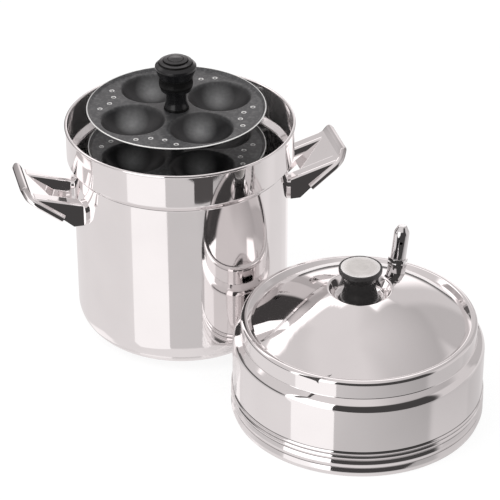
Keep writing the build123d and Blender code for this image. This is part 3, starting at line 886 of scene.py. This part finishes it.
def stage_camera():
    """The photograph's camera."""
    camera = linked("camera", bpy.data.cameras.new("camera"))
    camera.data.lens = camera_lens
    camera.data.sensor_width = camera_sensor_width
    back = Vector((0, -cos(camera_pitch), sin(camera_pitch)))
    camera.location = camera_target + camera_distance * back
    camera.rotation_euler = (pi / 2 - camera_pitch, 0, 0)
    bpy.context.scene.camera = camera


def stage_world():
    """White to the eye, even light for the object, and a dim pinkish grey in the mirrors."""
    world = bpy.data.worlds.new("studio")
    bpy.context.scene.world = world
    nodes = NodeTree(world, "ShaderNodeOutputWorld")
    ray = nodes.add("ShaderNodeLightPath").outputs
    even = nodes.add("ShaderNodeBackground", {"Color": white, "Strength": even_light}).outputs[0]
    mirrored = nodes.add("ShaderNodeBackground", {"Color": mirrored_world_colour}).outputs[0]
    seen = nodes.add("ShaderNodeBackground", {"Color": white}).outputs[0]
    lit = nodes.mixed(ray["Is Glossy Ray"], even, mirrored)
    nodes.end(nodes.mixed(ray["Is Camera Ray"], lit, seen))


def stage_floor():
    """A white floor with a soft shadow, which stays faint as part of the white is a glow."""
    half = floor_half_width
    corners = [(-half, -half, 0), (half, -half, 0), (half, half, 0), (-half, half, 0)]
    shader = Shader("white_floor")
    paper = shader.add("ShaderNodeBsdfDiffuse", {"Color": floor_paper_colour}).outputs[0]
    seen = shader.add("ShaderNodeLightPath").outputs["Is Camera Ray"]
    share = shader.math("MULTIPLY", seen, floor_glow_share)
    both = shader.mixed(share, paper, shader.glow(white, floor_glow))
    floor = flat_mesh("floor", corners, shader.finished(both))
    floor.visible_glossy = False


def stage_table():
    """The table as the polished steel sees it: a pale glossy top that ends in front of the lid."""
    corners = [
        (-table_half_width, table_front_left, table_height),
        (table_half_width, table_front_right, table_height),
        (table_half_width, table_back, table_height),
        (-table_half_width, table_back, table_height),
    ]
    shader = Shader("glossy_table")
    across, along, _ = shader.parts(shader.place)
    to_front = shader.ramp(along, table_dark_along)
    to_right = shader.ramp(across, table_dark_across, (0, table_dark_share))
    level = shader.math("SUBTRACT", 1.0, shader.math("MULTIPLY", to_front, to_right))
    gloss_inputs = {"Roughness": table_gloss_roughness, "Color": table_gloss_colour}
    gloss = shader.add("ShaderNodeBsdfGlossy", gloss_inputs).outputs[0]
    both = shader.add("ShaderNodeAddShader", {0: shader.glow(table_colour, level), 1: gloss}).outputs[0]
    table = flat_mesh("table", corners, shader.finished(both))
    hide_but_from_mirrors(table)


def stage_room():
    """The walls and ceiling of the studio as the polished steel sees them: a dome with a painted glow."""
    vertices, faces, levels = [], [], []
    azimuths = range(0, 360, room_step)
    elevations = range(room_elevations[0], room_elevations[1] + room_step, room_step)
    for elevation in elevations:
        for azimuth in azimuths:
            a, e = radians(azimuth), radians(elevation)
            direction = Vector((sin(a) * cos(e), -cos(a) * cos(e), sin(e)))
            vertices.append(room_centre + room_radius * direction)
            levels.append(room_level(azimuth, elevation))
    count = len(azimuths)
    for row in range(len(elevations) - 1):
        low, high = row * count, (row + 1) * count
        for column in range(count):
            after = (column + 1) % count
            faces.append((low + column, low + after, high + after, high + column))
    shader = Shader("room_walls")
    level = shader.add("ShaderNodeAttribute", attribute_name="glow").outputs["Fac"]
    room = stage_mesh("room", vertices, faces, shader.finished(shader.glow(room_colour, level)))
    room.data.attributes.new("glow", "FLOAT", "POINT").data.foreach_set("value", levels)
    hide_but_from_mirrors(room)


def stage_card(name, ends, heights, colour, strength):
    """An upright card of the studio with an even glow, which only reflections see."""
    (start, end), (low, high) = ends, heights
    corners = [(*start, low), (*end, low), (*end, high), (*start, high)]
    shader = Shader(name)
    card = flat_mesh(name, corners, shader.finished(shader.glow(colour, strength)))
    hide_but_from_mirrors(card)


def soft_lamp(name, place, aim, size, power):
    """A square soft lamp that points at a place."""
    light = bpy.data.lights.new(name, "AREA")
    light.shape = "SQUARE"
    light.size = size
    light.energy = power
    lamp = linked(name, light)
    lamp.visible_glossy = False
    lamp.location = place
    lamp.rotation_euler = (Vector(aim) - Vector(place)).to_track_quat("-Z", "Y").to_euler()


stage_camera()
stage_world()
stage_floor()
stage_table()
stage_room()
for name, card in cards.items():
    stage_card(name, **card)
for name, lamp in lamps.items():
    soft_lamp(name, **lamp)

bpy.context.scene.view_settings.view_transform = "Standard"
